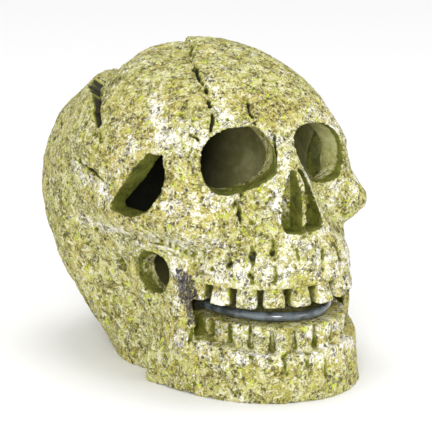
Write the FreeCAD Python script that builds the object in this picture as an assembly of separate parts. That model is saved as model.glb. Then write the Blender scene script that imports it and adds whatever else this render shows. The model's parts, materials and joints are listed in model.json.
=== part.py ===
import FreeCAD, Part

import math
import os

from FreeCAD import Vector

# Bubbling skull ornament for an aquarium: two hollow resin castings bonded together, with an
# air inlet at the back and a perforated bubble tube on the floor of the mouth.
# Millimetres, +Z up. The face looks towards -Y and +X is the skull's own left side.
# The origin lies on the standing face, in the middle of the overall length and width.
# "forward" is a distance towards the face, so forward = -y, and "side" is x.

# Driving sizes of the head
crown_height = 141.5            # standing face to the top of the head
head_half_width = 59.0          # beside the cheek arches
head_back = 89.0                # how far the back of the head lies behind the origin
wall = 5.0                      # resin wall round the hollow of the head
face_wall = 12.0                # resin wall behind the eyes and the nose
temple_lip = 5.0                # how much thicker the wall is round a temple opening
bond_gap = 0.2                  # glue line between the two castings
eyes = {                        # side, up, half width, half height; 1 is the skull's left
    1: (25.5, 105.3, 18.8, 15.5),
    -1: (25.2, 104.0, 18.6, 13.4),
}
eye_tilt = 8.0                  # degrees, outer corner down
nose_low, nose_high = 73.5, 101.5
nose_half_width = 10.0
nose_floor, nose_lead = 66.0, 76.0      # forward places of the pockets' floor and the septum
septum = 2.6
temple_length, temple_height = 31.0, 30.0
temple_forward, temple_up = 23.0, 93.0  # middle of the temple opening
notch_forward, notch_up = 27.5, 52.0    # middle of the hole above the jaw's rising branch
notch_half_length, notch_half_height = 9.8, 9.8
ear_forward, ear_up = 1.5, 50.0
ear_radius = 4.4
ear_depth = 4.5

# Driving sizes of the mouth and the jaw
mouth_top = 51.0                # underside of the upper gum
mouth_back = 26.0               # forward place where the mouth and the jaw begin
palate_height = 10.0            # hollow above the underside of the upper gum
upper_tooth_length = 8.8
upper_tooth_width = 7.6
upper_tooth_flare = 2.0         # a tooth is this much wider at its tip
upper_tooth_lean = 3.4          # how far a tip stands out beyond its root
upper_tooth_pitch = 12.0
upper_teeth_per_side = 6
jaw_front = 89.3                # forward place of the chin
jaw_half_width = 47.5
jaw_lean = 2.0                  # how much the jaw narrows from its foot to its gum
jaw_wall = 7.0
jaw_gum_top = 22.0              # at the chin
jaw_gum_rise = 6.0              # how much higher the gum stands at the back
deck_top = 33.5                 # floor of the mouth, level with the lower teeth
deck_thickness = 5.0
row_half_width = jaw_half_width - 12.5  # the outer faces of the lower teeth
row_front = jaw_front - 5.0
tooth_stand = 3.2               # how far the lower teeth stand out of the ledge behind them
lower_tooth_width = 6.7
lower_tooth_flare = 1.6
lower_tooth_pitch = 10.3
lower_teeth_per_side = 7
tooth_depth = 7.0
ramus_thickness = 4.5           # the jaw's rising branch
ramus_back = 21.0

# Driving sizes of the air line
tube_outer = 4.0
tube_inner = 2.6
tube_bend = 9.0                 # bend radius of a tube's middle line
nose_bore = 1.6                 # bore of a nose that a tube is pushed on
nose_length = 6.0
bubble_hole = 0.8
bubble_pitch = 7.0
loop_front = row_front - 6.3    # forward places of the bubble tube: its front, where it
loop_bow, loop_back = 38.0, 30.0        # starts to curve and its ends
loop_half_width = row_half_width - 7.5
plug_head = 2.5
clip_width, clip_length = 8.0, 6.0
clip_forward = 31.0
clip_play = 0.05                # between a tube and its clip, all round
clip_base = 0.8                 # clip under the tube
inlet_up = 14.0
spigot_radius = 2.5
spigot_length = 14.0
inlet_body_radius = 3.2
inlet_bore = 1.8
inlet_stop_radius, inlet_stop_thickness = 4.6, 1.2
boss_radius = 9.0
boss_stand = 5.0                # how far the inlet boss stands out of the back wall
boss_length = 14.0
grommet_radius = 4.8            # bore of the boss
grommet_flange_radius, grommet_flange_thickness = 6.8, 1.6
grommet_room = 0.5              # clear of the head's wall round a flange

UP = Vector(0, 0, 1)
BACKWARD = Vector(0, 1, 0)
FORWARD = Vector(0, -1, 0)


def at(side, forward, up):
    return Vector(side, -forward, up)


def box_between(side, forward, up):
    # a box from three (low, high) ranges
    corner = at(side[0], forward[1], up[0])
    return Part.makeBox(side[1] - side[0], forward[1] - forward[0], up[1] - up[0], corner)


def rod(radius, forward_from, forward_to, up, side=0.0):
    # a cylinder along the length, between two forward places
    low, high = min(forward_from, forward_to), max(forward_from, forward_to)
    return Part.makeCylinder(radius, high - low, at(side, high, up), BACKWARD)


def sheet_block(outline, direction):
    return Part.Face(Part.makePolygon(outline + outline[:1])).extrude(direction)


def smooth_read(keys, values, where):
    # a smooth curve through the values at the keys, read at one place
    where = min(max(where, keys[0]), keys[-1])
    i = max(k for k in range(len(keys) - 1) if k == 0 or keys[k] <= where)

    def slope(k):
        low, high = max(k - 1, 0), min(k + 1, len(keys) - 1)
        return (values[high] - values[low]) / (keys[high] - keys[low])

    span = keys[i + 1] - keys[i]
    t = (where - keys[i]) / span
    return (
        values[i] * (1 + 2 * t) * (1 - t) ** 2
        + values[i + 1] * t * t * (3 - 2 * t)
        + slope(i) * span * t * (1 - t) ** 2
        - slope(i + 1) * span * t * t * (1 - t)
    )


def column(table, k):
    return [row[k] for row in table]


def ring_solid(rings):
    # a solid whose skin follows closed rings of control points, with flat ends
    columns, rows = len(rings[0]), len(rings)
    surface = Part.BSplineSurface()
    surface.buildFromPolesMultsKnots(
        [[ring[i] for ring in rings] for i in range(columns)],
        [1] * (columns + 1),
        [4] + [1] * (rows - 4) + [4],
        list(range(columns + 1)),
        list(range(rows - 2)),
        True,
        False,
        3,
        3,
    )
    skin = surface.toShape()
    ends = [Part.Face(Part.Wire([edge])) for edge in skin.Edges if edge.BoundBox.ZLength < 1e-6]
    shell = Part.Shell([skin] + ends)
    shell.sewShape()
    return Part.Solid(shell)


# The head is drawn as level rings. Each ring has a middle on the centre plane and a reach
# from it in some directions, from 0 (towards the face) to 180 degrees (towards the back).
directions = (0, 16, 31, 47, 65, 90, 118, 145, 180)
head_rings = (
    # up, forward place of the middle, reaches
    (0, 14, (50, 49, 47, 44, 40, 37, 44, 50.5, 44)),
    (14, 10, (56, 54, 51, 46, 41, 38, 49.5, 57.5, 58)),
    (28, 4, (62, 60, 57, 51, 45, 41.5, 56, 64, 66)),
    (41, -2, (68, 65, 61, 54, 49, 45.5, 60, 69, 71)),
    (54, -9, (74, 70, 64, 58, 53, 50, 62, 70, 74)),
    (62, -13, (76, 74, 70, 63, 56, 53.5, 62.5, 70, 74)),
    (75, -17, (78, 80, 87, 75, 63.5, 57.5, 61.5, 68.5, 71.5)),
    (90, -18, (78, 79, 82, 73, 63.5, 58, 60.5, 67, 71)),
    (104, -18, (76, 77, 80, 72, 63, 58, 56.5, 61, 66)),
)
brow_level = head_rings[-1][0]
drawn_half_width, drawn_back = 59.0, 89.0       # what the rings and swellings measure as drawn

# the nose and the upper jaw stand out of the head as an arch that narrows upwards
muzzle_rings = (
    # up, half width, forward place of the front
    (30, 43, 83),
    (52, 43, 83.5),
    (62, 39.5, 82.5),
    (73, 31, 79),
    (85, 20, 77.5),
    (97, 13, 74),
    (106, 10, 66),
    (114, 8, 58),
)
muzzle_back = 30.0
muzzle_square = 2.15
muzzle_blend = 4.0

swellings = (
    # side, forward, up, spread in each direction, rise
    (22, 58, 121, (16, 14, 4.5), 2.8),      # brow
    (45, 56, 78, (9, 13, 7), 2.0),          # cheekbone
    (56, 28, 76, (12, 24, 4.5), 3.2),       # cheek arch
    (56, 26, 65, (14, 26, 4.5), -2.2),      # hollow under the cheek arch
    (48, 36, 112, (10, 9, 10), -2.5),       # temple
)


def dome_share(up, direction):
    # how much of a reach is left above the brow; it closes to nothing at the crown
    turned = min(direction / 120.0, 1.0)
    start = 72.0 - 26.0 * turned
    power = 2.35 - 0.85 * turned

    def left(height):
        rise = min((height - start) / (crown_height - start), 1.0)
        return (1 - rise ** power) ** (1 / power)

    return left(up) / left(brow_level)


def ring_middle(up):
    return smooth_read(column(head_rings, 0), column(head_rings, 1), up)


def plain_reach(up, direction):
    level = min(up, brow_level)
    reaches = column(head_rings, 2)
    levels = column(head_rings, 0)
    here = [smooth_read(levels, column(reaches, k), level) for k in range(len(directions))]
    reach = smooth_read(directions, here, direction)
    return reach * dome_share(up, direction) if up > brow_level else reach


def muzzle_size(up):
    levels = column(muzzle_rings, 0)
    half_widths, fronts = column(muzzle_rings, 1), column(muzzle_rings, 2)
    return smooth_read(levels, half_widths, up), smooth_read(levels, fronts, up)


def muzzle_reach(up, direction):
    if up > muzzle_rings[-1][0]:
        return 0.0
    half_width, front = muzzle_size(up)
    turn = math.radians(direction)
    inside, outside = 0.0, 150.0
    for _ in range(30):
        reach = (inside + outside) / 2
        side = reach * math.sin(turn) / half_width
        ahead = (ring_middle(up) + reach * math.cos(turn) - muzzle_back) / (front - muzzle_back)
        if side ** muzzle_square + max(ahead, 0) ** muzzle_square < 1:
            inside = reach
        else:
            outside = reach
    return inside if ring_middle(up) + inside * math.cos(turn) > muzzle_back else 0.0


def head_reach(up, direction):
    # the plain head with its swellings, run together smoothly with the muzzle
    head = plain_reach(up, direction)
    turn = math.radians(direction)
    side = head * math.sin(turn)
    forward = ring_middle(up) + head * math.cos(turn)
    for place, ahead, height, spread, rise in swellings:
        away = (side - place, forward - ahead, up - height)
        far = math.hypot(*(distance / size for distance, size in zip(away, spread)))
        head += rise * math.exp(-far * far / 2)
    muzzle = muzzle_reach(up, direction)
    near = max(muzzle_blend - abs(head - muzzle), 0.0) / muzzle_blend
    return max(head, muzzle) + near * near * muzzle_blend / 4


def skin_place(up, direction, reach):
    # side and forward place of a reach, fitted to the head's width and length
    turn = math.radians(direction)
    behind = max(-math.cos(turn), 0.0) ** 2
    side = reach * math.sin(turn) * head_half_width / drawn_half_width
    return side, ring_middle(up) + reach * math.cos(turn) - behind * (head_back - drawn_back)


def head_ring(up, level, columns, reach_of):
    points = []
    for k in range(columns):
        direction = 360.0 * k / columns
        mirrored = min(direction, 360 - direction)
        side, forward = skin_place(level, mirrored, max(reach_of(level, mirrored), 0.8))
        points.append(at(side if direction <= 180 else -side, forward, up))
    return points


def head_rings_to(top, columns, rows, reach_of, first=()):
    # level rings up to the brow, then rings that crowd together towards the top
    rings = [head_ring(up, 0.0, columns, reach_of) for up in first]
    for k in range(rows + 1):
        level = brow_level * k / rows
        rings.append(head_ring(level, level, columns, reach_of))
    steps = 9
    for k in range(1, steps + 1):
        share = math.sin(math.pi / 2 * k / steps)
        level = brow_level + (crown_height - brow_level) * share
        up = brow_level + (top - brow_level) * share
        rings.append(head_ring(up, level, columns, reach_of))
    return ring_solid(rings)


def head_form(outward=0.0):
    return head_rings_to(crown_height, 80, 26, lambda up, direction: head_reach(up, direction) + outward)


def hollow_form():
    def inner(up, direction):
        across = min(max((64.0 - direction) / 26.0, 0), 1)
        above = min(max((up - 42.0) / 14.0, 0), 1)
        lip = temple_lip * math.exp(-((abs(direction) - 56) / 20) ** 2 - ((up - temple_up) / 17) ** 2)
        return plain_reach(up, direction) - wall - (face_wall - wall) * across * above - lip

    return head_rings_to(crown_height - wall, 60, 20, inner, first=(-3.0,))


def side_of_head(forward, up):
    # the side place of the head's skin at a forward place and a height
    ahead, behind = 0.0, 180.0
    for _ in range(30):
        direction = (ahead + behind) / 2
        side, place = skin_place(up, direction, head_reach(up, direction))
        if place > forward:
            ahead = direction
        else:
            behind = direction
    return side


def back_of_head(up):
    return skin_place(up, 180, head_reach(up, 180))[1]


# Openings in the head
def oval_wire(middle, across, upward, half_width, half_height, square):
    points = []
    for k in range(24):
        c, s = math.cos(math.pi * k / 12), math.sin(math.pi * k / 12)
        side = half_width * math.copysign(abs(c) ** (2 / square), c)
        rise = half_height * math.copysign(abs(s) ** (2 / square), s)
        points.append(middle + across * side + upward * rise)
    curve = Part.BSplineCurve()
    curve.interpolate(Points=points, PeriodicFlag=True)
    return Part.Wire([curve.toShape()])


# how each socket runs in from the front: forward place, size, shift to the nose and shift up
eye_runs = {
    1: ((96, 1.18, 0, 1.0), (66, 1.0, 0, 0), (53, 0.84, 3, -4), (20, 0.8, 6, -5)),
    -1: ((96, 1.1, 0, 0), (62, 1.0, 0, 0), (50, 1.0, 6, 0), (20, 0.9, 9, 0)),
}


def eye_cutter(hand):
    tilt = math.radians(eye_tilt) * hand
    across = Vector(math.cos(tilt), 0, -math.sin(tilt))
    upward = Vector(math.sin(tilt), 0, math.cos(tilt))
    eye_side, eye_up, half_width, half_height = eyes[hand]
    wires = []
    for forward, share, shift, lift in eye_runs[hand]:
        middle = at(hand * (eye_side - shift), forward, eye_up + lift)
        wires.append(oval_wire(middle, across, upward, half_width * share, half_height * share, 2.3))
    return Part.makeLoft(wires, True, True)


def temple_cutter(hand):
    # a leaning opening: straight sloping rear edge, rounded front edge
    shape = (
        (-0.5, -0.48), (0.1, -0.5), (0.36, -0.36), (0.48, -0.08),
        (0.5, 0.22), (0.38, 0.46), (0.14, 0.44), (-0.16, 0.02),
    )
    points = [
        at(25 * hand, temple_forward + temple_length * a, temple_up + temple_height * b) for a, b in shape
    ]
    block = sheet_block(points, Vector(60 * hand, 0, 0))
    ridges = [edge for edge in block.Edges if edge.BoundBox.XLength > 59]
    return block.makeFillet(2.2, ridges)


def notch_cutter(hand):
    middle = at(20 * hand, notch_forward, notch_up)
    wire = oval_wire(middle, BACKWARD, UP, notch_half_length, notch_half_height, 2.0)
    return Part.Face(wire).extrude(Vector(60 * hand, 0, 0))


def ear_cutter(hand):
    floor = side_of_head(ear_forward, ear_up) - ear_depth
    start = at(hand * floor, ear_forward, ear_up)
    return Part.makeCone(ear_radius * 0.8, ear_radius * 1.3, 3 * ear_depth, start, Vector(hand, 0, 0))


def nose_cutters():
    # a pear-shaped opening, with a pocket on each side of the septum
    half = ((nose_half_width, nose_low + 0.8), (nose_half_width + 0.6, nose_low + 6),
            (nose_half_width - 1.5, nose_low + 14), (4.6, nose_high - 4))
    ahead = at(0, 50, 0)
    whole = half + ((0, nose_high),) + tuple((-side, up) for side, up in reversed(half))
    cutters = [sheet_block([at(side, nose_lead, up) for side, up in whole], ahead)]
    pocket = ((septum / 2, nose_low),) + half + ((septum / 2, nose_high),)
    for hand in (1, -1):
        cutters.append(sheet_block([at(hand * side, nose_floor, up) for side, up in pocket], ahead))
    return cutters


class Arch:
    # a horseshoe outline in plan: half width, forward places of its ends and its front
    def __init__(self, half_width, back, front, square):
        self.half_width, self.back, self.front, self.square = half_width, back, front, square

    def grown(self, out):
        return Arch(self.half_width + out, self.back, self.front + out, self.square)

    def point(self, degrees):
        # 90 degrees is the middle of the front
        c, s = math.cos(math.radians(degrees)), math.sin(math.radians(degrees))
        side = math.copysign(abs(c) ** (2 / self.square), c)
        ahead = math.copysign(abs(s) ** (2 / self.square), s)
        return self.half_width * side, self.back + (self.front - self.back) * ahead

    def solid(self, low, high, lean=0.0):
        # an upright block, or one that narrows by the lean from its foot to its top
        rings = []
        for level in range(5):
            outline = self.grown(-lean * level / 4)
            up = low + (high - low) * level / 4
            rings.append([at(*outline.point(7.5 * k), up) for k in range(48)])
        return ring_solid(rings)

    def place(self, run):
        # side, forward and outward heading at a distance along the arch from its middle
        walked, before = 0.0, self.point(90)
        for k in range(1, 900):
            now = self.point(90 - 0.1 * k)
            step = math.dist(now, before)
            if walked + step >= run:
                break
            walked, before = walked + step, now
        heading = math.atan2(now[1] - before[1], now[0] - before[0]) + math.pi / 2
        return now[0], now[1], heading


def jaw_arch():
    return Arch(jaw_half_width, 20.0, jaw_front, 2.15)


def lower_row():
    return Arch(row_half_width, 20.0, row_front, 2.5)


def gum_arch():
    half_width, front = muzzle_size(mouth_top)
    return Arch(half_width, muzzle_back, front, muzzle_square)


def tooth(arch, run, hand, root, tip, widths, lean):
    # a wedge with cut corners whose outer face lies on the arch and leans out to its tip
    side, forward, heading = arch.place(run)
    out = (math.cos(heading), math.sin(heading))
    along = (-out[1], out[0])
    corner = 1.2
    wires = []
    for up, share in ((root, 0.0), ((root + tip) / 2, 0.6), (tip, 1.0)):
        half = (widths[0] + (widths[1] - widths[0]) * share) / 2
        face, rear = lean * share, lean * share - tooth_depth
        section = (
            (half, face - corner), (half - corner, face), (corner - half, face), (-half, face - corner),
            (-half, rear + corner), (corner - half, rear), (half - corner, rear), (half, rear + corner),
        )
        points = [
            at(hand * (side + along[0] * a + out[0] * b), forward + along[1] * a + out[1] * b, up)
            for a, b in section
        ]
        wires.append(Part.makePolygon(points + points[:1]))
    return Part.makeLoft(wires, True, True)


def upper_teeth():
    arch, teeth = gum_arch().grown(-2.5), []
    for k in range(upper_teeth_per_side):
        tip = mouth_top - upper_tooth_length + 0.4 * math.sin(2.1 * k) + 0.2 * k
        for hand in (1, -1):
            run = upper_tooth_pitch * (k + 0.5)
            widths = (upper_tooth_width, upper_tooth_width + upper_tooth_flare)
            teeth.append(tooth(arch, run, hand, mouth_top + 1.5, tip, widths, upper_tooth_lean))
    return teeth


def lower_teeth():
    arch, teeth = lower_row(), []
    for k in range(lower_teeth_per_side):
        for hand in (1, -1):
            run = lower_tooth_pitch * (k + 0.5)
            widths = (lower_tooth_width, lower_tooth_width + lower_tooth_flare)
            teeth.append(tooth(arch, run, hand, jaw_gum_top - 1.5, deck_top, widths, 0.5))
    return teeth


# Castings
def mouth_region(clear):
    # what the head leaves free for the jaw
    return box_between((-90, 90), (mouth_back + clear, 140), (-10, mouth_top - clear))


def boss_places():
    # forward places of the inlet boss, rear face first
    rear = back_of_head(inlet_up) - boss_stand
    return rear, rear + boss_length


def cranium():
    body = head_form().cut(mouth_region(0.0)).cut(hollow_form())
    body = body.cut(gum_arch().grown(-2.5 - tooth_depth).solid(mouth_top - 6, mouth_top + palate_height))
    rear, front = boss_places()
    body = body.fuse(rod(boss_radius, rear, front, inlet_up))
    seat = grommet_flange_radius + grommet_room
    cutters = nose_cutters() + [
        rod(grommet_radius, rear - 1, front + 1, inlet_up),
        rod(seat, rear - 20, rear, inlet_up),
        rod(seat, front, front + 20, inlet_up),
    ]
    for hand in (1, -1):
        cutters += [eye_cutter(hand), temple_cutter(hand), notch_cutter(hand), ear_cutter(hand)]
    # teeth beside the jaw's rising branches end at the head's skin
    covered = Part.makeCompound(ramus_blanks(bond_gap)).cut(head_form())
    return body.cut(cutters).fuse([each.cut(covered) for each in upper_teeth()])


def ramus_blanks(ahead=0.0):
    # side view of the rising branch, with its front point under the cheek
    outline = ((ramus_back, 18), (49, 18), (51, 34), (48, 44), (48, 60), (43, 66), (35, 67),
               (28, 66), (20, 66), (14.5, 61), (14.5, 49), (18.5, 36))
    blanks = []
    for hand in (1, -1):
        points = [at(20 * hand, forward + ahead, up) for forward, up in outline]
        blanks.append(sheet_block(points, Vector(60 * hand, 0, 0)).cut(notch_cutter(hand)))
    return blanks


def rising_gum(arch):
    # the bank of gum that climbs towards the back of the jaw
    top = jaw_gum_top + jaw_gum_rise
    rear = mouth_back - 10
    side_view = ((74, jaw_gum_top - 3), (74, jaw_gum_top), (32, top), (rear, top), (rear, jaw_gum_top - 3))
    slope = sheet_block([at(-90, forward, up) for forward, up in side_view], Vector(180, 0, 0))
    return arch.solid(jaw_gum_top - 3, top + 1).common(slope)


def jaw():
    arch = jaw_arch()
    ledge = lower_row().grown(-tooth_stand)
    block = arch.solid(0, jaw_gum_top, jaw_lean).fuse(ledge.solid(jaw_gum_top - 3, deck_top))
    block = block.fuse([rising_gum(arch.grown(-jaw_lean))] + lower_teeth())
    block = block.cut(arch.grown(-jaw_wall).solid(-3, jaw_gum_top - jaw_wall))
    block = block.cut(ledge.grown(-deck_thickness).solid(0, deck_top - deck_thickness))
    block = block.cut(box_between((-90, 90), (-90, ramus_back), (-10, 90)))
    head = head_form(bond_gap)
    branches = Part.makeCompound(ramus_blanks()).common(head_form(ramus_thickness)).cut(head)
    return block.fuse(branches.Solids).cut(head.cut(mouth_region(bond_gap)))


# Air line
def rounded_path(corners, bend):
    # straight runs joined by tangent arcs
    edges, start = [], corners[0]
    for before, corner, after in zip(corners, corners[1:], corners[2:]):
        back, ahead = (before - corner).normalize(), (after - corner).normalize()
        half = back.getAngle(ahead) / 2
        inward = (back + ahead).normalize()
        first, last = corner + back * (bend / math.tan(half)), corner + ahead * (bend / math.tan(half))
        crest = corner + inward * (bend / math.sin(half) - bend)
        edges += [Part.LineSegment(start, first).toShape(), Part.Arc(first, crest, last).toShape()]
        start = last
    edges.append(Part.LineSegment(start, corners[-1]).toShape())
    return Part.Wire(edges)


def tube_along(path, start, heading):
    skins = []
    for width in (tube_outer, tube_inner):
        section = Part.Wire([Part.makeCircle(width / 2, start, heading)])
        skins.append(path.makePipeShell([section], True, False))
    return skins[0].cut(skins[1])


tube_up = deck_top + clip_base + clip_play + tube_outer / 2     # a tube in its clips
coupler_collar = 2.0


def bubble_tube():
    # two straight legs joined by half an ellipse that follows the row of teeth
    ends = [at(side, loop_back, tube_up) for side in (-loop_half_width, loop_half_width)]
    bends = [at(side, loop_bow, tube_up) for side in (-loop_half_width, loop_half_width)]
    around = Part.Ellipse(at(0, loop_front, tube_up), bends[1], at(0, loop_bow, tube_up))
    path = Part.Wire([
        Part.LineSegment(ends[0], bends[0]).toShape(),
        Part.ArcOfEllipse(around, -math.pi / 2, math.pi / 2).toShape(),
        Part.LineSegment(bends[1], ends[1]).toShape(),
    ])
    tube = tube_along(path, ends[0], FORWARD)
    count = int((path.Length - 4 * nose_length) / bubble_pitch)
    clear = (path.Length - count * bubble_pitch) / 2
    places = path.discretize(Distance=0.25)
    step = path.Length / (len(places) - 1)
    holes = [
        Part.makeCylinder(bubble_hole / 2, tube_outer, places[round((clear + bubble_pitch * k) / step)], UP)
        for k in range(count + 1)
    ]
    return tube.cut(holes)


def supply_tube():
    start = inlet_nose_places()[0]
    corners = [
        at(0, start, inlet_up),
        at(0, 4, inlet_up),
        at(-loop_half_width, 10, tube_up),
        at(-loop_half_width, loop_back - coupler_collar, tube_up),
    ]
    return tube_along(rounded_path(corners, tube_bend), corners[0], corners[1] - corners[0])


def tube_coupler():
    front = loop_back + nose_length
    rear = loop_back - coupler_collar - nose_length
    side = -loop_half_width
    body = rod(tube_inner / 2, rear, front, tube_up, side)
    body = body.fuse(rod(tube_outer / 2, loop_back - coupler_collar, loop_back, tube_up, side))
    return body.cut(rod(nose_bore / 2, rear - 1, front + 1, tube_up, side))


def tube_end_plug():
    nose = rod(tube_inner / 2, loop_back, loop_back + nose_length, tube_up, loop_half_width)
    return nose.fuse(rod(tube_outer / 2, loop_back - plug_head, loop_back, tube_up, loop_half_width))


def tube_clip(hand):
    # a saddle that the tube is pressed down into
    side = hand * loop_half_width
    half = clip_width / 2
    ends = (clip_forward, clip_forward + clip_length)
    seat = tube_outer / 2 + clip_play
    block = box_between((side - half, side + half), ends, (deck_top, tube_up + 1.2))
    throat = box_between((side - seat * 0.85, side + seat * 0.85), ends, (tube_up, tube_up + 5))
    return block.cut(rod(seat, ends[0] - 1, ends[1] + 1, tube_up, side)).cut(throat)


def grommet_faces():
    # forward places of the grommet's rear and front faces
    rear, front = boss_places()
    return rear - grommet_flange_thickness, front + grommet_flange_thickness


def inlet_nose_places():
    # where the nose inside the head begins and ends
    front = grommet_faces()[1]
    return front, front + nose_length


def inlet_grommet():
    rear, front = boss_places()
    rear_face, front_face = grommet_faces()
    body = rod(grommet_radius, rear, front, inlet_up)
    body = body.fuse(rod(grommet_flange_radius, rear_face, rear, inlet_up))
    body = body.fuse(rod(grommet_flange_radius, front, front_face, inlet_up))
    return body.cut(rod(inlet_body_radius, rear_face - 1, front_face + 1, inlet_up))


def air_inlet():
    rear_face, front_face = grommet_faces()
    stop = rear_face - inlet_stop_thickness
    end = inlet_nose_places()[1]
    body = rod(inlet_body_radius, rear_face, front_face, inlet_up)
    body = body.fuse(rod(inlet_stop_radius, stop, rear_face, inlet_up))
    body = body.fuse(rod(spigot_radius, stop - spigot_length, stop, inlet_up))
    body = body.fuse(rod(tube_inner / 2, front_face, end, inlet_up))
    bore = rod(inlet_bore / 2, stop - spigot_length - 1, end + 1, inlet_up)
    return body.cut(bore)


pieces = {
    "cranium_casting": cranium(),
    "jaw_casting": jaw(),
    "inlet_grommet": inlet_grommet(),
    "air_inlet": air_inlet(),
    "supply_tube": supply_tube(),
    "tube_coupler": tube_coupler(),
    "bubble_tube": bubble_tube(),
    "tube_end_plug": tube_end_plug(),
    "tube_clip_left": tube_clip(1),
    "tube_clip_right": tube_clip(-1),
}

os.makedirs("parts", exist_ok=True)
for name, shape in pieces.items():
    shape.exportStep(f"parts/{name}.step")
    print(name, len(shape.Solids), shape.isValid(), round(shape.Volume))
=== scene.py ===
import json
import math

import bpy
import numpy as np
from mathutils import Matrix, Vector, kdtree
from mathutils.bvhtree import BVHTree


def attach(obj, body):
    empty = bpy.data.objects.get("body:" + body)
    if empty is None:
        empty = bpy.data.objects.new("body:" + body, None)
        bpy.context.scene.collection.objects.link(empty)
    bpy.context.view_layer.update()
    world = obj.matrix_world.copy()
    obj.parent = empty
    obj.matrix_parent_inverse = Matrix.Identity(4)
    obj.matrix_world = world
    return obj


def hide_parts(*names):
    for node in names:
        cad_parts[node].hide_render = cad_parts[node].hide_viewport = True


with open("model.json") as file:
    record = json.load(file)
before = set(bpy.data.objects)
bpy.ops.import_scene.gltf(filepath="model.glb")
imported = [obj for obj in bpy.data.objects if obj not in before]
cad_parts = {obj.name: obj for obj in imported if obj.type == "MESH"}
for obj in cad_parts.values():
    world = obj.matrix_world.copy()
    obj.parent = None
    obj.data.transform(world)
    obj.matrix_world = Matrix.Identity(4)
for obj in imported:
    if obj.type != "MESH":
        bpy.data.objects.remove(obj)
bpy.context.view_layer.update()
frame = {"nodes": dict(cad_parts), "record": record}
nodes = frame["nodes"]
print("frame loaded:", len(nodes), "nodes")


def linear(red, green, blue):
    # a screen colour from 0 to 255 as the shader wants it
    parts = [c / 255 for c in (red, green, blue)]
    return tuple(p / 12.92 if p < 0.04045 else ((p + 0.055) / 1.055) ** 2.4 for p in parts) + (1.0,)


class Wire:
    # a value, colour or vector socket of one material
    def __init__(self, finish, socket):
        self.finish = finish
        self.socket = socket

    def math(self, operation, *others):
        return self.finish.node("ShaderNodeMath", {"operation": operation}, [self, *others])

    def __add__(self, other):
        return self.math("ADD", other)

    def __sub__(self, other):
        return self.math("SUBTRACT", other)

    def __rsub__(self, other):
        return self.finish.node("ShaderNodeMath", {"operation": "SUBTRACT"}, [other, self])

    def __mul__(self, other):
        return self.math("MULTIPLY", other)

    __radd__ = __add__
    __rmul__ = __mul__

    def most(self, other):
        return self.math("MAXIMUM", other)

    def rise(self, low, high):
        # 0 below low, 1 above high, smooth between
        settings = {"interpolation_type": "SMOOTHSTEP"}
        return self.finish.node("ShaderNodeMapRange", settings, {0: self, 1: low, 2: high, 3: 0.0, 4: 1.0})

    def tint(self, under, over):
        # under where this is 0, over where it is 1
        settings = {"data_type": "RGBA", "clamp_factor": True}
        return self.finish.node("ShaderNodeMix", settings, {0: self, 6: under, 7: over}, output=2)


class Finish:
    # one material and its nodes
    def __init__(self, name, **fixed):
        self.material = bpy.data.materials.new(name)
        self.material.use_nodes = True
        self.tree = self.material.node_tree
        self.shader = self.tree.nodes["Principled BSDF"]
        for socket, value in fixed.items():
            self.shader.inputs[socket.replace("_", " ")].default_value = value
        self.where = self.node("ShaderNodeTexCoord", {}, {}, output="Object")

    def node(self, kind, settings, inputs, output=0):
        made = self.tree.nodes.new(kind)
        for key, value in settings.items():
            if key == "stops":
                ramp = made.color_ramp.elements
                while len(ramp) < len(value):
                    ramp.new(0.5)
                for stop, (place, colour) in zip(ramp, value):
                    stop.position, stop.color = place, colour
            else:
                setattr(made, key, value)
        pairs = inputs.items() if isinstance(inputs, dict) else enumerate(inputs)
        for key, value in pairs:
            if isinstance(value, Wire):
                self.tree.links.new(value.socket, made.inputs[key])
            else:
                made.inputs[key].default_value = value
        return Wire(self, made.outputs[output])

    def noise(self, grain, detail=3.0, roughness=0.55, distortion=0.0):
        # grain is the size of a blotch in millimetres
        inputs = {"Vector": self.where, "Scale": 1000.0 / grain, "Detail": detail,
                  "Roughness": roughness, "Distortion": distortion}
        return self.node("ShaderNodeTexNoise", {}, inputs)

    def cells(self, grain, feature="F1", spread=1.0):
        inputs = {"Vector": self.where, "Scale": 1000.0 / grain, "Randomness": spread}
        return self.node("ShaderNodeTexVoronoi", {"feature": feature}, inputs)

    def painted(self, name):
        # a mask that the sculpting left on the mesh
        return self.node("ShaderNodeAttribute", {"attribute_name": name}, {}, output="Fac")

    def feed(self, **sockets):
        for name, wire in sockets.items():
            self.tree.links.new(wire.socket, self.shader.inputs[name.replace("_", " ")])

    def bump(self, height, strength, distance):
        inputs = {"Strength": strength, "Distance": distance, "Height": height}
        normal = self.node("ShaderNodeBump", {}, inputs)
        self.feed(Normal=normal)


def scatter(cells, seed):
    # an even hash of whole-number cells to the range 0 to 1
    n = cells[..., 0] * 374761393 + cells[..., 1] * 668265263 + cells[..., 2] * 1440662683 + seed * 987643
    n = (n ^ (n >> 13)) & 0x7FFFFFFF
    n = (n * 1274126177 + 12345) & 0x7FFFFFFF
    n = ((n ^ (n >> 16)) * 668265263) & 0x7FFFFFFF
    return (n & 0xFFFFFF) / 0xFFFFFF


def softNoise(places, grain, seed):
    # smooth noise from -1 to 1 with blotches of the size of the grain
    spots = places / grain + seed * 0.37
    base = np.floor(spots).astype(np.int64)
    part = spots - base
    part = part * part * (3 - 2 * part)
    total = np.zeros(len(places))
    for corner in np.ndindex(2, 2, 2):
        weight = np.prod(np.where(np.array(corner), part, 1 - part), axis=1)
        total += weight * (scatter(base + np.array(corner), seed) * 2 - 1)
    return total


def layeredNoise(places, grain, seed, layers=3):
    return sum(softNoise(places, grain / 2 ** k, seed + k) / 2 ** k for k in range(layers))


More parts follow.
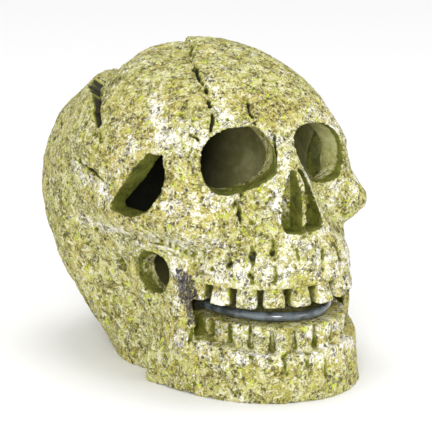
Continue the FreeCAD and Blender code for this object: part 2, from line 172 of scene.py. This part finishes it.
def pitField(places, spacing, radius, seed, share=1.0):
    # round pits, at most one in each cell: 1 at a pit's floor, 0 outside
    base = np.floor(places / spacing).astype(np.int64)
    depth = np.zeros(len(places))
    for step in np.ndindex(3, 3, 3):
        cell = base + np.array(step) - 1
        middle = (cell + np.stack([scatter(cell, seed + k) for k in range(3)], axis=1)) * spacing
        size = radius * (0.45 + 0.55 * scatter(cell, seed + 5))
        there = scatter(cell, seed + 7) < share
        away = np.linalg.norm(places - middle, axis=1) / size
        depth = np.maximum(depth, np.where(there, np.clip(1 - away, 0, 1), 0))
    return depth


def lineField(places, points):
    # distance to a line of points, the share run along it, and which side of it a place is on
    best = np.full(len(places), 1e9)
    run = np.zeros(len(places))
    hand = np.zeros(len(places))
    points = [np.array(p, float) for p in points]
    for k, (a, b) in enumerate(zip(points, points[1:])):
        along = b - a
        share = np.clip((places - a) @ along / (along @ along), 0, 1)
        offset = places - (a + share[:, None] * along)
        away = np.linalg.norm(offset, axis=1)
        near = away < best
        outward = a * np.array([1.0, 1.0, 0.0]) + np.array([0, 18.0, 60.0])
        across = np.cross(along, outward)
        best = np.where(near, away, best)
        run = np.where(near, (k + share) / (len(points) - 1), run)
        hand = np.where(near, offset @ (across / np.linalg.norm(across)), hand)
    return best, run, hand


def ease(values, low, high):
    # 0 below low, 1 above high, smooth between
    t = np.clip((values - low) / (high - low), 0, 1)
    return t * t * (3 - 2 * t)


def readPlaces(mesh):
    # vertex places in millimetres as side, forward, up
    flat = np.empty(len(mesh.vertices) * 3)
    mesh.vertices.foreach_get("co", flat)
    return flat.reshape(-1, 3) * np.array([1000.0, -1000.0, 1000.0])


def readNormals(mesh):
    flat = np.empty(len(mesh.vertices) * 3)
    mesh.vertex_normals.foreach_get("vector", flat)
    return flat.reshape(-1, 3) * np.array([1.0, -1.0, 1.0])


def writePlaces(mesh, places):
    mesh.vertices.foreach_set("co", (places * np.array([0.001, -0.001, 0.001])).ravel())
    mesh.update()


def paint(mesh, name, values):
    layer = mesh.attributes.new(name, "FLOAT", "POINT")
    layer.data.foreach_set("value", np.asarray(values, np.float32))


def settle(piece, kind, **settings):
    # adds one modifier and applies it
    modifier = piece.modifiers.new(kind, kind)
    for key, value in settings.items():
        setattr(modifier, key, value)
    graph = bpy.context.evaluated_depsgraph_get()
    mesh = bpy.data.meshes.new_from_object(piece.evaluated_get(graph))
    piece.modifiers.clear()
    old = piece.data
    piece.data = mesh
    bpy.data.meshes.remove(old)


casting = {
    "name": "skullCasting",
    "voxel": 0.00068,
    "closeGap": 0.3,            # each casting is fattened by this so that the glue line closes
    "mouthFront": 27.0,         # nothing is fattened ahead of this, so the teeth stay apart
    "rounding": 3,
    "faces": 194000,
    "clearReach": 28.0,         # how far out a place is looked at to tell how open it is
    "clearRays": 14,
    "clearStart": 0.6,          # a ray starts this far off the skin
    # painted shade darkens the hollow's wall behind the middle, over this span
    "hollowDark": (36, 66),     # how far behind the middle the hollow's wall turns dark
}

# relief of the outer skin in millimetres: size of a feature, then how much it stands out or sinks in
relief = {
    "warp": ((7.0, 1.3), (2.4, 0.5)),
    "lumps": (17.0, 0.7),
    "folds": (6.5, 0.4),
    "crumbs": (3.0, 0.4),
    "coarsePits": {"spacing": 6.5, "radius": 2.4, "share": 0.7, "depth": 1.25},
    "finePits": {"spacing": 3.2, "radius": 1.25, "share": 0.75, "depth": 0.85},
    "rootGroove": {"reach": 2.1, "depth": 1.5},
    "innerWall": (9.0, 0.35),
}

# cracks of the outer skin: side, forward, up of each bend, half width and depth
cracks = {
    "foreheadSeam": {"line": [(-3, -8, 141), (-10, 5, 140), (-17, 20, 134), (-21, 33, 128), (-25, 42, 121),
                              (-28, 46, 116)], "width": 0.94, "depth": 3.2},
    "browSlot": {"line": [(-5, 40, 126), (-8, 45, 121), (-9, 52, 112)], "width": 0.94, "depth": 3.4},
    "noseSeam": {"line": [(-1, 55, 114), (-4, 59, 109), (-6, 63, 102), (-9, 66, 92)],
                 "width": 0.79, "depth": 2.6},
    "rearPlateSeam": {"line": [(-28, -47, 122), (-37, -33, 121), (-45, -18, 119), (-51, -9, 113),
                               (-56, -2, 106)], "width": 1.08, "depth": 3.2},
    "backSeam": {"line": [(-37, -62, 107), (-50, -46, 103), (-54, -39, 95)], "width": 1.01, "depth": 2.8},
    "backSeamLow": {"line": [(-57, -28, 96), (-57, -28, 86), (-57, -30, 74)], "width": 0.65, "depth": 1.8},
    "sideRent": {"line": [(-58, -20, 95), (-58, -12, 93), (-58, -5, 92), (-58, 2, 90), (-57, 8, 89)],
                 "width": 1.22, "depth": 2.6},
    "browNick": {"line": [(-37, 40, 116), (-36, 45, 113)], "width": 0.79, "depth": 2.4},
    "leftBrowSeam": {"line": [(18, 22, 133), (27, 31, 127), (31, 37, 122)], "width": 0.72, "depth": 1.8},
    "cheekSeam": {"line": [(-22, 58, 92), (-23, 60, 86), (-24, 61, 80), (-25, 64, 73)],
                  "width": 1.15, "depth": 2.6},
    "cheekFork": {"line": [(-27, 53, 91), (-24, 59, 86)], "width": 0.79, "depth": 1.8},
    "templeSeam": {"line": [(-40, 22, 121), (-44, 30, 114), (-45, 34, 109)], "width": 0.58, "depth": 1.2},
    "leftRearSeam": {"line": [(30, -40, 123), (42, -20, 118), (50, -6, 112), (55, 0, 100)],
                     "width": 1.01, "depth": 2.8},
    "leftSideRent": {"line": [(58, -24, 88), (58, -12, 84), (58, 0, 86)], "width": 1.08, "depth": 2.2},
    "crownSeam": {"line": [(-3, -8, 141), (6, -24, 138), (14, -40, 130), (12, -58, 118)],
                  "width": 0.86, "depth": 2.6},
    "napeSeam": {"line": [(12, -58, 118), (-4, -74, 104), (-10, -84, 86), (-2, -87, 66)],
                 "width": 0.86, "depth": 2.2},
}

# ridges that the brush caught, where the white is partly painted highlight: line and how far the white
# spreads from it
brushed = {
    "rightBrow": ([(-42, 36, 111), (-36, 45, 115), (-24, 51, 117), (-12, 58, 114)], 9),
    "leftBrow": ([(7, 60, 113), (18, 58, 119), (32, 50, 117), (42, 40, 108)], 8),
    "noseBridge": ([(-2, 58, 116), (-4, 64, 106), (-7, 68, 95), (-10, 70, 86)], 8),
    "noseRim": ([(6, 68, 96), (11, 73, 84), (12, 77, 73), (0, 82, 70), (-12, 77, 72)], 5),
    "leftCheek": ([(30, 60, 86), (42, 50, 82), (50, 36, 76)], 8),
    "rightCheek": ([(-36, 55, 88), (-45, 44, 84), (-46, 42, 76), (-40, 52, 70)], 11),
    "cheekRidge": ([(-57, -18, 66), (-56, 6, 67), (-53, 25, 68), (-48, 41, 70)], 6),
    "upperGum": ([(-46, 46, 56), (-36, 63, 58), (-20, 77, 59), (0, 83, 59), (20, 77, 59), (36, 63, 58)], 9),
    "templeLine": ([(-34, 14, 127), (-40, 22, 121), (-44, 31, 113)], 6),
    "foreheadEdge": ([(-14, 24, 134), (-19, 36, 127), (-20, 46, 119)], 4),
    "templeRear": ([(-54, 2, 84), (-53, 10, 96), (-51, 18, 105)], 7),
    "sideRentEdge": ([(-58, -20, 91), (-58, -6, 88), (-58, 6, 85)], 5),
    "cheekHoleEdge": ([(-49, 40, 60), (-48, 43, 50), (-47, 42, 40)], 5),
    "upperTeeth": ([(-38, 55, 45), (-28, 71, 45), (0, 85, 45), (28, 71, 45), (38, 55, 45)], 5),
    "lowerTeeth": ([(-34, 55, 30), (-26, 74, 30), (0, 85, 30), (26, 74, 30), (34, 55, 30)], 4),
    "jawRidge": ([(-47, 46, 24), (-40, 64, 22), (-24, 80, 20), (0, 87, 20), (24, 80, 20)], 6),
}

# the crown is split along this line, and each plate is lifted by its own swellings:
# middle, reach and rise in millimetres
crownSplit = [(-29, 48, 114), (-28, 46, 116), (-25, 42, 121), (-21, 33, 128), (-17, 20, 134),
              (-10, 5, 140), (-3, -8, 141), (6, -24, 138), (14, -40, 130), (12, -58, 118)]
frontPlate = [((-6, 4, 141), 14, -2.6), ((20, 6, 136), 32, 2.8), ((36, -10, 126), 30, 1.8)]
rearPlate = [((-9, -2, 140), 15, -6.0), ((-27, -20, 130), 20, 5.6), ((-38, -30, 121), 10, 1.6)]
# the back of the head is split again, with a lower plate behind it
backSplit = [(-14, -58, 124), (-28, -47, 122), (-37, -33, 121), (-45, -18, 119), (-51, -9, 113),
             (-56, -2, 106)]
backPlate = [((-30, -50, 118), 18, -6.4), ((-48, -34, 108), 18, -5.0)]
napePlate = [((-46, -52, 98), 14, -1.8)]


def joinedCasting():
    # both castings as one skin, closed over the glue line
    parts = []
    for name in ("cranium_casting", "jaw_casting"):
        copy = bpy.data.objects.new(name + "Copy", nodes[name].data.copy())
        bpy.context.scene.collection.objects.link(copy)
        settle(copy, "WELD", merge_threshold=0.00002)
        places = readPlaces(copy.data)
        ahead = ease(places[:, 1], casting["mouthFront"], casting["mouthFront"] + 4)
        grown = casting["closeGap"] * (1 - ahead)
        writePlaces(copy.data, places + readNormals(copy.data) * grown[:, None])
        parts.append(copy)
    skin = parts[0]
    with bpy.context.temp_override(active_object=skin, selected_editable_objects=parts):
        bpy.ops.object.join()
    skin.name = casting["name"]
    skin.data.name = casting["name"]
    settle(skin, "REMESH", mode="VOXEL", voxel_size=casting["voxel"], use_smooth_shade=True)
    settle(skin, "SMOOTH", factor=0.6, iterations=casting["rounding"])
    print("casting remeshed:", len(skin.data.vertices))
    return skin


def outwardHeading(places):
    # away from the middle line of the head
    middle = np.stack([np.zeros(len(places)), -18 + 32 * ease(-places[:, 2], -70, 0), places[:, 2]], axis=1)
    outward = places - middle
    outward[:, 2] += np.clip(places[:, 2] - 90, 0, 60)
    return outward / (np.linalg.norm(outward, axis=1)[:, None] + 1e-9)


def swelling(places, blobs):
    # the sum of soft mounds, or of hollows where the rise is below nothing
    return sum(rise * np.exp(-((places - np.array(middle, float)) ** 2).sum(axis=1) / (2 * reach * reach))
               for middle, reach, rise in blobs)


def plateLift(places):
    # how far each place is pushed outwards by the plate that it lies on
    onFront = lineField(places, crownSplit)[2] < 0
    onBack = lineField(places, backSplit)[2] > 0
    low = ease(places[:, 2], 92, 112)
    rear = swelling(places, rearPlate) + np.where(onBack, swelling(places, backPlate), 0.0)
    return low * np.where(onFront, swelling(places, frontPlate), rear) + swelling(places, napePlate)


def wallMasks(places, normals):
    # 1 on the smooth wall of the hollow
    facing = (outwardHeading(places) * normals).sum(axis=1)
    inside = ease(-facing, 0.15, 0.5)
    inMouth = (places[:, 1] > 28) & (places[:, 2] < 66) & (places[:, 2] > 28)
    return np.where(inMouth, 0.0, inside)


# openings whose cut walls are bare of the brushed paint: middle and reach
openings = [((-26, 68, 103.5), 25), ((25, 68, 105), 24), ((-52, 23, 93), 24), ((52, 23, 93), 24),
            ((-52, 27.5, 52), 14), ((52, 27.5, 52), 14), ((0, 72, 86), 19),
            ((-56, 1.5, 50), 7), ((56, 1.5, 50), 7)]


def cutWalls(places, normals):
    # 1 on the walls of the openings
    facing = np.abs((outwardHeading(places) * normals).sum(axis=1))
    near = np.zeros(len(places))
    for middle, reach in openings:
        away = np.linalg.norm(places - np.array(middle, float), axis=1)
        near = np.maximum(near, 1 - ease(away, reach * 0.85, reach * 1.1))
    return near * (1 - ease(facing, 0.35, 0.7))


# grooves between the roots: side, forward, up of each end
rootGrooves = [
    [(-23, 69, 69), (-26, 73, 54)], [(-16, 74, 71), (-18, 79, 54)], [(-7, 80, 68), (-7, 82, 55)],
    [(7, 80, 68), (6, 82, 55)], [(16, 76, 69), (18, 80, 55)], [(26, 70, 67), (28, 73, 55)],
    [(-32, 62, 64), (-35, 65, 54)], [(34, 62, 64), (37, 64, 55)], [(42, 52, 62), (43, 54, 54)],
    [(-43, 50, 30), (-44, 51, 16)], [(-39, 57, 30), (-41, 60, 17)], [(-37, 63, 27), (-39, 66, 16)],
    [(-33, 71, 26), (-35, 73, 13)], [(-27, 74, 24), (-30, 79, 15)], [(-16, 82, 23), (-18, 85, 13)],
    [(-5, 86, 23), (-6, 88, 11)], [(4, 88, 22), (3, 88, 11)], [(14, 88, 21), (15, 87, 9)],
    [(25, 80, 22), (27, 82, 11)], [(34, 71, 22), (36, 73, 12)], [(41, 58, 23), (43, 60, 13)],
    [(-25, 83, 14), (-24, 84, 20)], [(-24, 84, 20), (-19, 84, 23)], [(-15, 87, 22), (-10, 88, 18)],
]


def warpedPlaces(places):
    # places pushed about a little, so that no crack or edge runs straight
    (wide, widePush), (narrow, narrowPush) = relief["warp"]
    warped = places.copy()
    for axis in range(3):
        warped[:, axis] += widePush * softNoise(places, wide, 40 + axis)
        warped[:, axis] += narrowPush * softNoise(places, narrow, 50 + axis)
    return warped


def grooveDepth(warped):
    # depth of the cracks and of the grooves between the roots
    groove = np.zeros(len(warped))
    for crack in cracks.values():
        away, run = lineField(warped, crack["line"])[:2]
        taper = ease(run, -0.12, 0.15) * ease(-run, -1.12, -0.85)
        gape = np.clip(1 - away / crack["width"], 0, 1) ** 0.7
        groove = np.maximum(groove, crack["depth"] * gape * (0.55 + 0.45 * taper))
    root = relief["rootGroove"]
    for line in rootGrooves:
        away = lineField(warped, line)[0]
        groove = np.maximum(groove, root["depth"] * np.clip(1 - away / root["reach"], 0, 1))
    return groove


def pitDepth(warped, places, tooth):
    # depth of the pits, which are shallow on the teeth
    coarse, fine = relief["coarsePits"], relief["finePits"]
    large = pitField(warped, coarse["spacing"], coarse["radius"], 3, coarse["share"])
    small = pitField(places, fine["spacing"], fine["radius"], 11, fine["share"])
    deepest = np.maximum(coarse["depth"] * large ** 0.8, fine["depth"] * small ** 0.7)
    return deepest * np.where(tooth, 0.35, 1.0)


def brushMask(warped):
    # 1 on the ridges that the brush caught, fading to the sides
    brush = np.zeros(len(warped))
    for line, reach in brushed.values():
        away = lineField(warped, line)[0]
        brush = np.maximum(brush, 1 - ease(away, 0.2 * reach, 1.5 * reach))
    return brush


def sculptCasting(skin):
    # moves the skin to its folds, pits, cracks and plates, and returns the masks for the paint
    places = readPlaces(skin.data)
    normals = readNormals(skin.data)
    inside = wallMasks(places, normals)
    outside = 1 - inside
    cut = cutWalls(places, normals)
    tooth = (places[:, 2] < 51.5) & (places[:, 2] > 22) & (places[:, 1] > 28)
    warped = warpedPlaces(places)
    lift = plateLift(warped)
    pits = pitDepth(warped, places, tooth)
    foldSize, foldRise = relief["folds"]
    crumbSize, crumbRise = relief["crumbs"]
    lumpSize, lumpRise = relief["lumps"]
    folds = 1 - 2.6 * np.abs(layeredNoise(warped, foldSize, 33, 2))
    crumbs = 1 - 2.4 * np.abs(layeredNoise(warped, crumbSize, 37, 2))
    ridges = foldRise * np.clip(folds, -1, 1) + crumbRise * np.clip(crumbs, -1, 1)
    lumps = lumpRise * layeredNoise(places, lumpSize, 21, 2) + np.where(tooth, 0.3, 0.6) * ridges
    lumps *= np.where(tooth, 0.6, 1.0)
    innerSize, innerRise = relief["innerWall"]
    rough = outside * (lumps - pits) * (1 - 0.5 * cut)
    rough += inside * innerRise * softNoise(places, innerSize, 61)
    depth = outside * grooveDepth(warped)
    places += normals * (rough - depth)[:, None] + outwardHeading(places) * (lift * outside)[:, None]
    places[:, 2] = np.where(places[:, 2] < 0.25, 0.0, places[:, 2])
    writePlaces(skin.data, places)
    masks = {
        "hollowWall": inside,
        "cutWall": cutWalls(places, normals),
        # painted shade on the far back of the hollow's wall
        "deepWall": inside * ease(-places[:, 1], *casting["hollowDark"]),
        "brush": brushMask(warped) * outside,
        "pit": np.clip(outside * (0.75 * pits + 0.55 * np.clip(depth, 0, 2)), 0, 1),
        "raised": np.clip(0.35 + 0.3 * folds + 0.35 * crumbs - 0.5 * pits - 0.4 * depth, 0, 1) * outside,
        "folds": np.clip(0.5 - 0.4 * folds - 0.35 * crumbs + 0.3 * pits, 0, 1) * outside,
        "stain": cornerMask(places),
    }
    print("casting sculpted")
    return places, masks


def cornerMask(places):
    # dark purple specks at the corners of the mouth, partly the specks' own colour and partly painted shade
    corner = np.zeros(len(places))
    for hand in (-1, 1):
        away = lineField(places, [(hand * 45, 46, 52), (hand * 43, 49, 44), (hand * 41, 52, 36)])[0]
        corner = np.maximum(corner, 1 - ease(away, 2.0, 9.0))
    return corner


def openness(mesh):
    # share of the half sphere over each vertex that is clear of the piece itself
    reach, off, rays = casting["clearReach"] / 1000, casting["clearStart"] / 1000, casting["clearRays"]
    goldenTurn = 2.39996
    tree = BVHTree.FromPolygons([v.co for v in mesh.vertices], [p.vertices for p in mesh.polygons])
    spread = []
    for k in range(rays):
        tilt = math.sqrt((k + 0.5) / rays)
        turn = goldenTurn * k
        spread.append((tilt * math.cos(turn), tilt * math.sin(turn), math.sqrt(1 - tilt * tilt)))
    clear = np.empty(len(mesh.vertices))
    for k, vertex in enumerate(mesh.vertices):
        normal = vertex.normal
        start = vertex.co + normal * off
        side = normal.orthogonal().normalized()
        other = normal.cross(side)
        hits = 0
        for a, b, c in spread:
            if tree.ray_cast(start, side * a + other * b + normal * c, reach)[0]:
                hits += 1
        clear[k] = 1 - hits / rays
    return clear


def thinned(skin, places, masks):
    # fewer faces where the skin is smooth, with the masks carried over
    tree = kdtree.KDTree(len(places))
    for k, place in enumerate(places):
        tree.insert(place, k)
    tree.balance()
    count = sum(len(p.vertices) - 2 for p in skin.data.polygons)
    settle(skin, "TRIANGULATE")
    settle(skin, "DECIMATE", ratio=min(1.0, casting["faces"] / count))
    kept = readPlaces(skin.data)
    nearest = np.array([tree.find(place)[1] for place in kept])
    for name, values in masks.items():
        paint(skin.data, name, values[nearest])
    paint(skin.data, "open", openness(skin.data))
    skin.data.polygons.foreach_set("use_smooth", [True] * len(skin.data.polygons))
    print("casting thinned to", len(skin.data.polygons), "faces")


# screen colours of the resin's paint, and of the shade and highlight painted into it
resinColours = {
    "straw": (172, 166, 88),
    "pale": (202, 200, 132),
    "ochre": (196, 184, 104),
    "cream": (220, 217, 176),
    "olive": (152, 146, 56),
    "lime": (196, 208, 66),
    "white": (244, 241, 228),
    "brown": (112, 98, 42),
    "furrow": (74, 62, 22),
    "recessShadeOlive": (112, 116, 26),
    "pit": (40, 36, 8),
    "wallShade": (188, 186, 122),
    "wallLight": (220, 218, 158),
    "deepWall": (24, 24, 8),
    "cutShade": (84, 88, 18),
    "cutLight": (122, 126, 44),
    "stain": (46, 38, 58),
}


def resinFinish():
    # layered paint: straw, cream and green, brushed with white on what stands out, which also serves as
    # painted highlight, and dark in what sinks in, with painted shade where the skin is closed in
    shade = {name: linear(*colour) for name, colour in resinColours.items()}
    resin = Finish("brushedMossResin", Specular_IOR_Level=0.4)
    pit = resin.painted("pit")
    raised = resin.painted("raised")
    folds = resin.painted("folds")
    hollow = resin.painted("hollowWall")
    brush = resin.painted("brush")
    clear = resin.painted("open")
    broad = resin.noise(34.0, 2.0)
    patch = resin.noise(9.0, 3.0, 0.6, 0.6)
    swirl = resin.noise(4.0, 3.0, 0.65, 1.8)
    fleck = resin.noise(3.0, 3.0, 0.68, 2.2)
    grain = resin.noise(1.0, 1.0, 0.6)
    freckle = resin.noise(2.6, 3.0, 0.65, 2.0)
    # thin curled furrows with a rim, broken up by the patches
    curl = (resin.noise(4.2, 2.0, 0.5, 1.8) - 0.5).math("ABSOLUTE")
    broken = resin.noise(5.0, 2.0, 0.6).rise(0.48, 0.55)
    furrow = (1.0 - curl.rise(0.008, 0.03)) * broken
    rim = (1.0 - curl.rise(0.035, 0.075)) * broken - furrow
    hole = (1.0 - resin.cells(3.0).rise(0.2, 0.3)) * resin.noise(5.0, 2.0).rise(0.45, 0.53)
    ground = patch.rise(0.4, 0.6).tint(shade["straw"], shade["pale"])
    ground = broad.rise(0.45, 0.62).tint(ground, shade["ochre"])
    colour = swirl.rise(0.5, 0.58).tint(ground, shade["cream"])
    colour = resin.noise(2.9, 3.0, 0.6, 1.2).rise(0.55, 0.61).tint(colour, shade["olive"])
    colour = resin.noise(3.1, 2.0, 0.6, 1.0).rise(0.6, 0.66).tint(colour, shade["lime"])
    # dry-brushed white on ridges and flecks, which also stands in for painted highlights
    white = fleck + (patch - 0.5) * 0.4 + brush * 0.17 + raised * 0.12 + rim * 0.07
    whitePaintAndHighlight = white.rise(0.705, 0.765)
    colour = whitePaintAndHighlight.tint(colour, shade["white"])
    dark = freckle + folds * 0.1 - brush * 0.05
    colour = (dark.rise(0.58, 0.63) * 0.8).tint(colour, shade["brown"])
    colour = (furrow.most(hole) * 0.85).tint(colour, shade["furrow"])
    # olive painted shade where the skin is closed in, from the openness, added to the darker pit floors and
    # cracks
    sunk = pit * 1.1 + (1.0 - clear) * 1.0 + (fleck - 0.5) * 0.5
    colour = sunk.rise(0.45, 0.75).tint(colour, shade["recessShadeOlive"])
    # near-black in pit floors and cracks, deepened by painted shade where the skin is closed in
    deep = pit + (1.0 - clear) * 0.5 + (freckle - 0.5) * 1.0
    colour = deep.rise(0.7, 1.0).tint(colour, shade["pit"])
    wall = patch.rise(0.35, 0.65).tint(shade["wallShade"], shade["wallLight"])
    # the hollow's wall, turned to painted shade towards its far back
    colour = hollow.tint(colour, resin.painted("deepWall").tint(wall, shade["deepWall"]))
    wall = patch.rise(0.35, 0.65).tint(shade["cutShade"], shade["cutLight"])
    colour = (resin.painted("cutWall") * 1.4 + (fleck - 0.5)).rise(0.4, 0.8).tint(colour, wall)
    # dark purple specks in the mouth corners: partly purple speckling, partly painted shade of the mouth
    # corner
    stain = (resin.painted("stain") * 0.75 + (freckle - 0.5) * 1.8).rise(0.5, 0.62)
    colour = (stain * 0.85).tint(colour, shade["stain"])
    resin.feed(Base_Color=colour, Roughness=0.68 - 0.2 * whitePaintAndHighlight + 0.2 * (grain - 0.5))
    brushwork = swirl * 0.6 + fleck * 0.6 - freckle * 0.4 + rim * 0.25 - furrow * 0.6 - hole * 0.7
    resin.bump(brushwork * (1.0 - hollow * 0.85), 0.8, 0.0012)
    return resin.material


def makeCasting():
    skin = joinedCasting()
    thinned(skin, *sculptCasting(skin))
    skin.data.materials.clear()
    skin.data.materials.append(resinFinish())
    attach(skin, "root")
    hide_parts("cranium_casting", "jaw_casting")


def plainFinish(name, light, dark, grain, roughness, **fixed):
    # moulded plastic or rubber: two close tones, uneven gloss and a fine skin
    finish = Finish(name, **fixed)
    tone = finish.noise(grain, 3.0)
    fine = finish.noise(grain / 6, 2.0)
    finish.feed(Base_Color=tone.rise(0.35, 0.65).tint(dark, light), Roughness=roughness + 0.15 * fine)
    finish.bump(fine, 0.2, 0.0002)
    return finish.material


def dressAirLine():
    finishes = {
        "air_tube": plainFinish("smokyTube", linear(112, 122, 130), linear(64, 70, 72), 6.0, 0.14,
                                Coat_Weight=0.8, Coat_Roughness=0.06, IOR=1.5),
        "inlet_plastic": plainFinish("blackNylon", linear(44, 46, 46), linear(26, 28, 28), 3.0, 0.38),
        "clip_plastic": plainFinish("oliveClip", linear(66, 64, 34), linear(48, 46, 24), 2.5, 0.45),
        "grommet_rubber": plainFinish("blackRubber", linear(38, 38, 36), linear(24, 24, 23), 2.0, 0.7),
    }
    for row in frame["record"]["subparts"]:
        if row["material_slot"] in finishes:
            piece = nodes[row["node"]]
            piece.data.materials.clear()
            piece.data.materials.append(finishes[row["material_slot"]])
    print("air line dressed")


# places in metres, and the lights' sizes too
studio = {
    "floor": (0.93, 0.93, 0.94, 1.0),
    "floorReach": 6.0,
    "world": 0.8,
    "lights": {
        "leftBox": {"at": (-0.8, -1.0, 0.55), "size": 0.35, "watts": 8.0},
        "rightBox": {"at": (0.35, -1.2, 0.5), "size": 0.4, "watts": 2.5},
        "overhead": {"at": (0.1, 0.2, 1.2), "size": 0.5, "watts": 4.0},
    },
    "aim": (0.0, 0.0, 0.06),
}
camera = {"azimuth": -35.0, "elevation": 15.0, "distance": 1.636, "lens": 300.0,
          "aim": (0.0011, -0.0064, 0.0654)}


def pointAt(thing, place):
    thing.rotation_mode = "QUATERNION"
    thing.rotation_quaternion = (Vector(place) - thing.location).to_track_quat("-Z", "Y")


def buildStudio():
    scene = bpy.context.scene
    scene.view_settings.view_transform = "Standard"
    floorMesh = bpy.data.meshes.new("floor")
    reach = studio["floorReach"]
    corners = [(-reach, -reach, 0), (reach, -reach, 0), (reach, reach, 0), (-reach, reach, 0)]
    floorMesh.from_pydata(corners, [], [(0, 1, 2, 3)])
    floor = bpy.data.objects.new("floor", floorMesh)
    scene.collection.objects.link(floor)
    paper = Finish("paleFloor", Roughness=0.9)
    paper.shader.inputs["Base Color"].default_value = studio["floor"]
    floorMesh.materials.append(paper.material)
    world = bpy.data.worlds.new("studio")
    scene.world = world
    world.use_nodes = True
    world.node_tree.nodes["Background"].inputs[0].default_value = (1.0, 1.0, 1.0, 1.0)
    world.node_tree.nodes["Background"].inputs[1].default_value = studio["world"]
    for name, light in studio["lights"].items():
        lamp = bpy.data.lights.new(name, "AREA")
        lamp.energy = light["watts"]
        lamp.size = light["size"]
        holder = bpy.data.objects.new(name, lamp)
        holder.location = light["at"]
        scene.collection.objects.link(holder)
        pointAt(holder, studio["aim"])
    print("studio lit")


def placeCamera():
    lens = bpy.data.cameras.new("camera")
    lens.lens = camera["lens"]
    holder = bpy.data.objects.new("camera", lens)
    bpy.context.scene.collection.objects.link(holder)
    turn, tilt = math.radians(camera["azimuth"]), math.radians(camera["elevation"])
    back = Vector((math.sin(turn) * math.cos(tilt), -math.cos(turn) * math.cos(tilt), math.sin(tilt)))
    holder.location = Vector(camera["aim"]) + back * camera["distance"]
    pointAt(holder, camera["aim"])
    bpy.context.scene.camera = holder


makeCasting()
dressAirLine()
buildStudio()
placeCamera()
